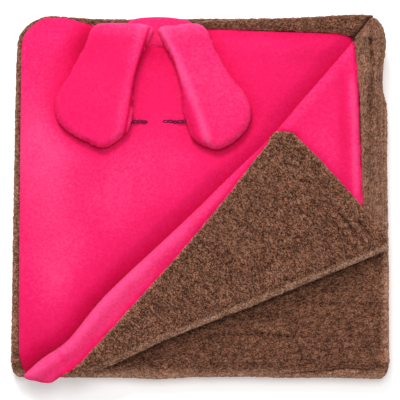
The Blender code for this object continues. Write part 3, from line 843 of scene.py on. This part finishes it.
def side_relief(plan):
    """The side panel's rolled lapping edge, its soft front lobe, and the swell beside its border."""
    gap = beyond(plan, DIAGONAL_LINE)  # positive on the side panel's own side
    rise = 0.9 * MM * flat_drift(plan, 60 * MM, 9) + 0.9 * MM
    front = 1 - ease(plan[:, 0], -0.06, 0.12)
    rise += (1.2 + 2.6 * front) * MM * bell(gap - 8 * MM, 10 * MM)
    rise = heaped(rise, plan, (2.6 * MM, (-166, -184), (14, 7), 20), (-1 * MM, (-146, -170), (4, 12), 35),
                  (2.4 * MM, (163, 60), (5, 90)), (-1.6 * MM, (154, 50), (5, 80), 2))
    return np.clip(rise, -0.8 * MM, 8 * MM)


def side_tone_and_shading(points):
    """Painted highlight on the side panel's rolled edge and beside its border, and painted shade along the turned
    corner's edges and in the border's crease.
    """
    plan = points[:, :2]
    gap = beyond(plan, DIAGONAL_LINE)
    keen = gap_to(plan, np.array(KEEN_EDGE) * MM, closed=False)
    free = gap_to(plan, np.array([KEEN_EDGE[-1], *FREE_EDGE]) * MM, closed=False)
    border = gap_to(plan, SIDE_SEAM, closed=False)
    front = 1 - ease(plan[:, 0], -0.1, 0.05)
    # painted highlight along the crest of the rolled edge; the front end is paler
    tone = (0.25 + 0.3 * front) * bell(gap - 5 * MM, 7 * MM) + 0.3 * front
    # painted shadow along the turned corner's edges
    tone -= 1.9 * np.exp(-keen / (2.2 * MM)) + 0.7 * np.exp(-free / (4 * MM))
    # painted highlight on the swell beside the border
    tone += 0.6 * bell(border - 6 * MM, 6 * MM) * ease(-plan[:, 1], -0.15, -0.11)
    # painted shade in the crease along the border
    tone -= 0.9 * np.exp(-border / (1.3 * MM))
    # more painted shade beside the border crease and in the dip by the front lobe
    return heaped(tone, plan, (-0.5, (154, 60), (6, 70), 2), (-0.3, (-146, -170), (3, 10), 35))


def hood_side():
    base, low = low_z("hood_side"), low_z("hood_side_lining")
    outline = softened(SIDE_OUTLINE)
    piece = sewn("hood_side_velour", outline, SIDE_TOP - base, VELOUR_CUT, edge=5 * MM, relief=side_relief,
                 lay=laid_at(base - SIDE_SUNK), butt=[SIDE_CREASE])
    give_velour(piece, tone=side_tone_and_shading)
    stands_for(piece, "upper_half", ["hood_side"], VELOUR)
    lining = lining_cloth("hood_side_lining_plush", outline, 0.975, base - low - 0.3 * MM, low - SIDE_SUNK)
    stands_for(lining, "upper_half", ["hood_side_lining"], PLUSH)


hood_side()


# ---- Padded borders and crown roll ----
MITRE = np.array([(165.0, 172.5), (185.0, 197.0)]) * MM
# the groove down the side border: how far back in metres, and how far to the right there
BORDER_GROOVE = ((-0.05, 0.10, 0.139, 0.172), (0.1815, 0.1815, 0.1840, 0.1820))


def border_hollow(points):
    """Where painted shade goes: the mitre between the two borders, and the groove down the side border."""
    mitre = gap_to(points[:, :2], MITRE, closed=False)
    x, y = points[:, 0], points[:, 1]
    groove = bell(x - np.interp(y, *BORDER_GROOVE), 1.7 * MM) * ease(y, 0.02, 0.1) * (1 - ease(y, 0.17, 0.184))
    return 0.9 * np.exp(-mitre / (3 * MM)) + 0.7 * groove * (x > 0.17)


def bolster(name, node, corners, spacing, edge, finish, relief, extra=0.0, along=90):
    """A padded roll over its node, extra metres thicker than it."""
    low = low_z(node)
    piece = sewn(name, softened(corners), high_z(node) - low + extra, spacing, edge=edge, relief=relief,
                 lay=laid_at(low))
    if finish is VELOUR:
        give_velour(piece)
    else:
        give_plush(piece, height=0.7 * MM, along=along, hollow=border_hollow)
    stands_for(piece, "upper_half", [node], finish)


def side_border_relief(plan):
    x, y = plan[:, 0], plan[:, 1]
    groove = bell(x - np.interp(y, *BORDER_GROOVE), 3.2 * MM) * (1 - ease(y, 0.165, 0.18))
    return 1.5 * MM * flat_drift(plan, 26 * MM, 13) + 1.2 * MM - 4.2 * MM * groove


SIDE_BORDER = [
    (172.9, -50.5, 1), (194.6, -41.3, 1), (194.2, 0), (193.8, 72.4), (194.2, 104.9), (194.6, 126.6), (196, 143),
    (198.2, 157.1), (199, 168), (197.6, 180), (193.4, 188.4), (188, 193.8), (183.5, 195.6, 1), (166.2, 173.8, 1),
    (165, 169), (164.6, 160), (166.2, 148), (169, 120.8), (170.2, 99.1), (170.7, 72.1), (170.9, 39.8),
]
BACK_BORDER = [
    (-8, 184), (12, 183), (41.9, 181.8), (63.1, 180.9), (105.6, 179.7), (137.4, 178.6), (163.6, 174.4),
    (166, 174.8, 1), (185.8, 197, 1), (174, 198.4), (163.9, 198.4), (137.4, 196.5), (105.6, 194.8), (63.1, 193.9),
    (41.9, 193.3), (15.4, 191.7), (-6, 190),
]
CROWN_ROLL = [
    (-80, 186.5), (-76.2, 191.4), (-69.5, 193.6), (-60.5, 194.9), (-45.5, 195.5), (-32.7, 194.9), (-21.5, 193.4),
    (-12.6, 191), (-6, 187.1), (-14.4, 172), (-30, 163.5), (-48, 161.5), (-66, 163.5), (-74.4, 172),
]
bolster("side_border_plush", "side_border", SIDE_BORDER, PLUSH_CUT, 9 * MM, PLUSH_ROLLED,
        side_border_relief, extra=1.5 * MM)
bolster("back_border_plush", "back_border", BACK_BORDER, PLUSH_CUT, 7 * MM, PLUSH,
        lambda plan: 1 * MM * flat_drift(plan, 24 * MM, 14), along=0)
bolster("crown_roll_velour", "crown_roll", CROWN_ROLL, VELOUR_CUT, 9 * MM, VELOUR,
        lambda plan: -5 * MM * (1 - ease(plan[:, 1], 0.162, 0.187)))


# ---- Turned corner ----
def on_crease(share):
    """The place some share of the way along the crease."""
    return CREASE_START + (CREASE_END - CREASE_START) * share


def corner_creases(points):
    """The short creases that run in from the turned corner's right end, beside its free edge."""
    plan = points[:, :2]
    total = np.zeros(len(plan))
    for shift, depth, start in ((11.0, 0.7, 0.150), (21.0, 0.9, 0.128), (32.0, 0.5, 0.118)):
        line = np.array([(120.0, 48.2), (190.0, -39.0)]) + np.array([-0.77, -0.64]) * shift
        away = beyond(plan, line * MM)
        fold = bell(away, 1.7 * MM) - 0.4 * bell(away - 5 * MM, 3.5 * MM)
        total += depth * fold * ease(plan[:, 0], start, start + 0.02) * (1 - ease(plan[:, 0], 0.178, 0.19))
    return total


def corner_relief(plan):
    """How far the corner stands over a flat ply: puffed along its crease, with short creases by its free edge."""
    rise = 1 * MM * flat_drift(plan, 45 * MM, 17) + 1.6 * MM
    near = (plan - CREASE_START * MM) @ (-CREASE_OUT)
    rise += 2.2 * MM * bell(near, 9 * MM)
    rise -= 1.4 * MM * bell(near - 17 * MM, 7 * MM)
    rise -= 2.2 * MM * corner_creases(plan)
    rise = heaped(rise, plan, (-1.4 * MM, (-25, -85), (50, 6), 33), (-0.9 * MM, (10, -75), (40, 5), 30))
    return np.clip(rise, -0.8 * MM, 8 * MM)


def turned_corner():
    top = high_z("corner_fold_lining")
    axis = top - (top - low_z("corner_fold_lining")) / 2
    low, lower = low_z("corner_lining"), low_z("corner_face")
    butt_line = [on_crease(-0.02), on_crease(1.0)]
    outline = softened([(*on_crease(-0.012), 1), *KEEN_EDGE[1:], *FREE_EDGE, (*on_crease(1), 1)])

    piece = sewn("corner_lining_plush", outline, high_z("corner_lining") - low, PLUSH_CUT, edge=4.5 * MM,
                 relief=corner_relief, butt=[butt_line], lay=laid_at(low))
    # painted shade in the short creases
    give_plush(piece, height=1.1 * MM, along=-42, stretch=1.9, hollow=corner_creases)
    stands_for(piece, "turned_corner", ["corner_lining"], PLUSH_STROKED)

    keen = [(x - 1.1, y + 0.9) for x, y in KEEN_EDGE[1:11]]
    face = softened([(*on_crease(-0.012), 1), *keen, (60, 30, 1), (150, -50, 1), (*on_crease(0.93), 1)])
    under = sewn("corner_face_velour", face, high_z("corner_face") - lower, VELOUR_CUT, coarse=16 * MM,
                 fine=False, lay=laid_at(lower + 0.2 * MM), butt=[butt_line])
    give_velour(under)
    stands_for(under, "turned_corner", ["corner_face"], VELOUR)
    turn_in = crease_fold("corner_fold_face_velour", "corner_fold_face", axis, VELOUR)

    band = softened([(60.6, 30, 1), (73, 54), (77.5, 65), (87.5, 68.4), (98, 65.5), (100.2, 62),
                     (119.2, 44.6), (146.3, 14.5), (171.2, -14.3), (197.5, -44.2), (*on_crease(0.995), 1),
                     (*on_crease(0.935), 1), (150.6, -49.6, 1)])
    border = sewn("corner_border_plush", band, high_z("corner_border") - lower, PLUSH_CUT, fine=False,
                  edge=1.6 * MM, lay=laid_at(lower), butt=[butt_line])
    give_plush(border, height=0.6 * MM, along=-45)
    stands_for(border, "turned_corner", ["corner_border"], PLUSH)

    rim = crease_fold("corner_fold_lining_plush", "corner_fold_lining", axis, PLUSH_STROKED)


RIM = ((0.0, 0.043, 0.103, 0.2, 0.29, 0.41, 0.53, 0.69, 0.84, 1.0),  # how far along the crease, and how far out
       (4.6, 8.2, 9.8, 9.5, 8.7, 10.4, 11.8, 13.0, 14.7, 15.0))


def rim_reach(share):
    """How far the turned corner's rounded rim hangs out past its crease."""
    return np.interp(share, *RIM) * MM


def crease_fold(name, node, axis, finish):
    """Cloth wrapped round the crease, from the side panel to its turned corner."""
    outer = (high_z(node) - low_z(node)) / 2
    plush = finish is not VELOUR
    inner = 3.45 * MM if plush else 0.3 * MM
    length = np.linalg.norm(CREASE_END - CREASE_START)
    turn = math.pi * outer / MM
    outline = softened([(0, 0, 1), (length, 0, 1), (length, turn, 1), (0, turn, 1)], 0)
    wall = outer - inner

    def lay(plan, height):
        run, angle = plan[:, 0], plan[:, 1] / outer
        share = run / (length * MM)
        radius = inner + height
        out = radius
        if plush:
            line = (CREASE_START + np.outer(run / MM, CREASE_RUN)) * MM
            upper = corner_relief(line) * ease(-angle, -math.pi * 0.5, -0.1)
            radius = radius + upper * np.clip(height / wall, 0, 1)
            tip = ease(share, -0.02, 0.035)
            radius = radius * (0.45 + 0.55 * tip)
            bulge = rim_reach(share) - outer
            waver = 0.5 * MM * flat_drift(plan * np.array([1.0, 0.0]), 30 * MM, 21)
            out = (inner + height + bulge + waver) * tip
        out = out * np.sin(angle)
        x = CREASE_START[0] * MM + CREASE_RUN[0] * run + CREASE_OUT[0] * out
        y = CREASE_START[1] * MM + CREASE_RUN[1] * run + CREASE_OUT[1] * out
        x = np.where(x > 0.194, 0.194 + 5 * MM * np.tanh((x - 0.194) / (5 * MM)), x)
        return np.column_stack([x, y, axis + radius * np.cos(angle)])

    # painted highlight on the turned corner's rounded rim, weaker near its tip
    def pale(points):
        away = (points[:, :2] - CREASE_START * MM) @ CREASE_OUT
        share = (points[:, :2] - CREASE_START * MM) @ CREASE_RUN / (length * MM)
        reach = rim_reach(share)
        return (0.3 + 0.55 * ease(share, 0.03, 0.35)) * ease(away, reach - 8 * MM, reach - 3.5 * MM)

    piece = sewn(name, outline, wall, PLUSH_CUT if plush else 3 * MM, edge=1.6 * MM, lay=lay,
                 butt=[((0.0, 0.0), (length, 0.0)), ((0.0, turn), (length, turn))])
    if plush:
        give_plush(piece, along=23, pale=pale)
    else:
        give_velour(piece)
    start = (*(CREASE_END * MM), axis - outer * BLEND_SHARE)
    end = (*(CREASE_END * MM), axis + outer * BLEND_SHARE)
    stands_for(piece, "upper_half", [node], finish, ("turned_corner", start, end))
    return piece


turned_corner()


# ---- Ears ----
def puffed(piece, frames, pressure, cap):
    """Blows the padded cloth up a little with a cloth simulation, and keeps every point within the cap."""
    before = mesh_points(piece)
    cloth = piece.modifiers.new("cloth", "CLOTH")
    cloth.settings.use_pressure = True
    cloth.settings.uniform_pressure_force = pressure
    cloth.settings.effector_weights.gravity = 0.0
    cloth.settings.quality = 4
    for step in range(1, frames + 1):
        bpy.context.scene.frame_set(step)
    graph = bpy.context.evaluated_depsgraph_get()
    shaped = piece.evaluated_get(graph).to_mesh()
    after = read(shaped.vertices, "co", 3)
    piece.evaluated_get(graph).to_mesh_clear()
    piece.modifiers.remove(cloth)
    bpy.context.scene.frame_set(1)
    moved = after - before
    far = np.linalg.norm(moved, axis=1)
    move_points(piece, before + moved * np.minimum(1, cap / np.maximum(far, 1e-9))[:, None])


def applied(piece, kind, **settings):
    modifier = piece.modifiers.new(kind.lower(), kind)
    for key, value in settings.items():
        setattr(modifier, key, value)
    graph = bpy.context.evaluated_depsgraph_get()
    mesh = bpy.data.meshes.new_from_object(piece.evaluated_get(graph))
    piece.modifiers.remove(modifier)
    piece.data = mesh
    mesh.shade_smooth()


def rounded_edge(plan, outline, insets):
    """Moves the points near an outline so that each lies its own inset inside it."""
    away, spot, _ = nearest(plan, outline)
    depth = np.where(inside(plan, outline), away, -away)
    inward = (plan - spot) / np.where(np.abs(depth) > 0.02 * MM, depth, 1e9)[:, None]
    moves = (depth < insets) | ((depth < 3.2 * MM) & (insets < 0.9 * EAR_ROUND))
    return np.where(moves[:, None], spot + inward * insets[:, None], plan)


def ear(name, nodes, body, corners, seam, profile, shade):
    """A padded ear, puffed up between its two plies, with the flat flange of its seam along the inner side."""
    low = low_z(nodes[0])
    outline = softened(corners, 3)
    middle = outline.mean(axis=0)
    start = middle + (outline - middle) * 0.995
    piece = sewn(name, start, 6 * MM, 2.4 * MM, coarse=7.2 * MM, edge=3 * MM, lay=laid_at(low + 1.4 * MM))
    applied(piece, "REMESH", mode="VOXEL", voxel_size=2 * MM)
    puffed(piece, 20, 4.0, 5 * MM)
    points = mesh_points(piece)
    plan = points[:, :2]
    share = np.clip((points[:, 2] - low - 4.4 * MM) / (3 * MM), -1.0, 1.0)
    plan = rounded_edge(plan, outline, EAR_ROUND * (1 - np.sqrt(1 - share**2)))
    away = gap_to(plan, outline)
    swell = rounded(away, 6.5 * MM)
    from_seam = beyond(plan, np.array(seam) * MM)
    lift = share * np.where(share > 0, 5 * MM, 4 * MM)
    plump = 1.6 * MM * swell + 0.9 * MM * flat_drift(plan, 30 * MM, 41) * swell
    plump += 1.5 * MM * ease(plan[:, 1], 0.150, 0.184) * swell
    plump += profile(from_seam) * MM
    lift += plump * np.clip(share, 0, 1)
    move_points(piece, np.column_stack([plan, low + 4.4 * MM + lift]))
    applied(piece, "SMOOTH", factor=0.5, iterations=9)
    applied(piece, "SUBSURF", levels=1, render_levels=1)

    def tone(found):
        place = found[:, :2]
        edge = gap_to(place, outline)
        # painted shade low down where the ear meets the face, painted highlight along its edges, paler towards its
        # root
        contact_shade = 1 - ease(found[:, 2], low + 2 * MM, low + 5 * MM)
        pale = 0.35 * np.exp(-edge / (2.2 * MM)) + 0.5 * ease(place[:, 1], 0.165, 0.186)
        return pale + shade(beyond(place, np.array(seam) * MM)) - 0.35 * contact_shade

    give_velour(piece, tone=tone)
    root = [(float(outline[:, 0].mean()), y, 0.045) for y in ROOT_BEND]
    stands_for(piece, "upper_half", nodes, VELOUR, (body, *root))
    return piece


def near_line(gap, middle, reach):
    return bell(gap / MM - middle, reach)


EAR_ROUND = 2.6 * MM  # how round the ears' edges are
ROOT_BEND = (0.1885, 0.1765)  # how far back, in metres, the two points handed on with each ear lie
LEFT_SEAM = [
    (-83, 60), (-80.8, 66.3), (-77.9, 81.3), (-74.3, 100.8), (-70.8, 121.3), (-65.6, 144.1), (-60.2, 162.5),
    (-54.5, 181),
]
RIGHT_RIDGE = [(-43.2, 178.8), (-27.2, 151.6), (-16.5, 124.5), (-5.8, 97.5), (2, 74), (6, 60)]
# each ear's last argument paints shade and highlight: the left ear's seam line painted dark and its flange pale, the
# right ear's ridge a painted highlight and its left flank painted shade
ear("ear_left_padded", ["ear_left_back", "ear_left_front"], "ear_left", LEFT_EAR, LEFT_SEAM,
    lambda gap: 1.2 * near_line(gap, 6.5, 5.0) - 0.9 * near_line(gap, 0.0, 1.6),
    lambda gap: (0.35 * near_line(gap, 7.0, 6.0) - 1.3 * near_line(gap, 0.0, 1.3)
                 + 0.4 * near_line(gap, -2.8, 1.5) - 0.15))
ear("ear_right_padded", ["ear_right_back", "ear_right_front"], "ear_right", RIGHT_EAR, RIGHT_RIDGE,
    lambda gap: 2.6 * near_line(gap, 0.0, 6.0) - 1.2 * near_line(gap, -13.0, 6.0),
    lambda gap: 0.6 * near_line(gap, 1.0, 4.5) - 0.75 * near_line(gap, -10.0, 5.0) + 0.1)


# ---- Stitched eyes ----
def stitched_eye(name, node):
    """A row of chain stitch: closed loops of thread, each starting inside the one before."""
    low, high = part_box(node)
    length = high.x - low.x + 2 * MM
    count = round(length / (5.4 * MM))
    link, reach, thread = 6.6 * MM, 1.25 * MM, 0.6 * MM  # a loop's length, its reach before stretching, its thread
    bm = bmesh.new()
    for index in range(count):
        ring = bmesh.ops.create_circle(bm, radius=thread, segments=6)["verts"]
        bmesh.ops.rotate(bm, verts=ring, cent=(0, 0, 0), matrix=Matrix.Rotation(math.pi / 2, 3, "X"))
        bmesh.ops.translate(bm, verts=ring, vec=(reach, 0, 0))
        edges = list(dict.fromkeys(edge for vert in ring for edge in vert.link_edges))
        bmesh.ops.spin(bm, geom=ring + edges, cent=(0, 0, 0), axis=(0, 0, 1), angle=2 * math.pi, steps=16,
                       use_merge=True)
        loop = [vert for vert in bm.verts if not vert.tag]
        for vert in loop:
            vert.tag = True
        bmesh.ops.scale(bm, verts=loop, vec=(link / (3.5 * MM), 1.0, 1.0))
        place = low.x - 1 * MM + (index + 0.5) * length / count
        sag = 0.4 * MM * math.sin(index * 2.1)
        lift = 0.8 * MM + (0.25 * MM if index % 2 else 0.0)
        bmesh.ops.translate(bm, verts=loop, vec=(place, (low.y + high.y) / 2 + sag, high.z + lift))
    bmesh.ops.remove_doubles(bm, verts=bm.verts, dist=1e-6)
    bmesh.ops.recalc_face_normals(bm, faces=bm.faces)
    stands_for(as_object(name, bm), "upper_half", [node], THREAD)


stitched_eye("eye_left_stitches", "eye_left")
stitched_eye("eye_right_stitches", "eye_right")
